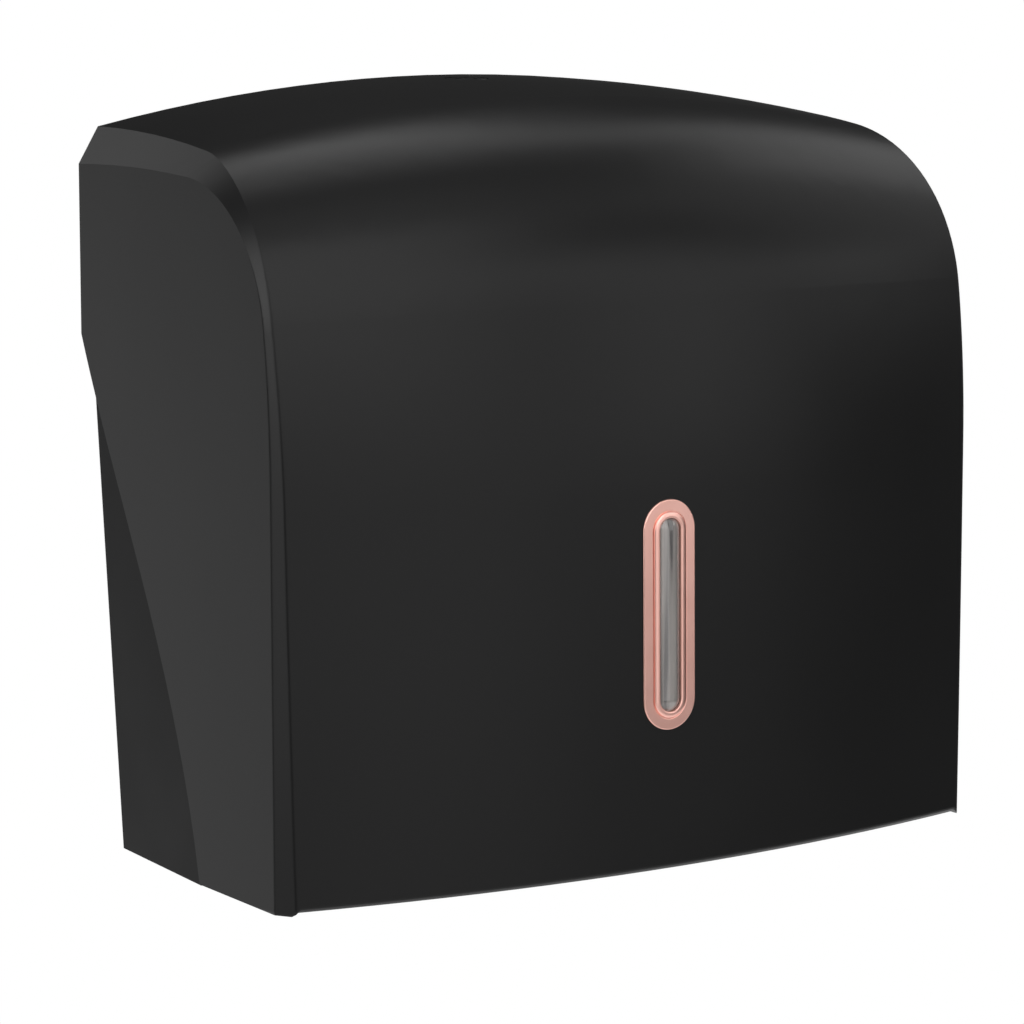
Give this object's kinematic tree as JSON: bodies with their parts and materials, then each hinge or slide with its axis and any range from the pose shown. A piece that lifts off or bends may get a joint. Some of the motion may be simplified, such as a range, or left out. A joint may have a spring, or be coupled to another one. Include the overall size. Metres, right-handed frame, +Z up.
{
  "type": "folded paper towel dispenser",
  "caption": "Wall-mounted folded paper towel dispenser with a bowed drop-down hood, a level window, a towel slot underneath and a quarter-turn lock.",
  "frame": {"origin": "on the wall face of the base, on the centre line, level with the bottom edge of the hood's front", "axes": "+X to the right of someone facing the dispenser, +Y into the wall, +Z up"},
  "size_m": [0.278, 0.1491, 0.2627],
  "materials": {
    "cover_plastic": "satin black moulded ABS",
    "base_plastic": "matt black moulded ABS",
    "inner_plastic": "matt dark grey moulded ABS",
    "rose_gold": "satin rose-gold plated plastic",
    "lens": "smoke-clear polished plastic",
    "bush": "natural acetal",
    "steel": "zinc-plated steel",
    "lock_black": "black passivated zinc casting"
  },
  "bodies": {
    "base": {"rear_housing": "base_plastic", "outlet_tray": "base_plastic", "tray_screws": "steel", "towel_guide_left": "inner_plastic", "towel_guide_right": "inner_plastic", "hinge_pin_left": "steel", "hinge_pin_right": "steel", "lock_keeper": "steel", "keeper_screws": "steel"},
    "cover": {"front_cover": "cover_plastic", "window_trim": "rose_gold", "window_lens": "lens", "window_retainer": "inner_plastic", "retainer_screws": "steel", "hinge_bush_left": "bush", "hinge_bush_right": "bush", "lock_body": "lock_black", "lock_nut": "steel"},
    "lock": {"lock_plug": "lock_black", "lock_cam": "steel", "cam_screw": "steel"}
  },
  "joints": [
    {"name": "cover_hinge", "type": "hinge", "parent": "base", "child": "cover", "pos_m": [0, -0.092, 0.012], "axis": [1, 0, 0], "range_deg": [0, 90]},
    {"name": "lock_turn", "type": "hinge", "parent": "cover", "child": "lock", "pos_m": [0, -0.024, 0.245], "axis": [0, 0, -1], "range_deg": [0, 90]}
  ]
}
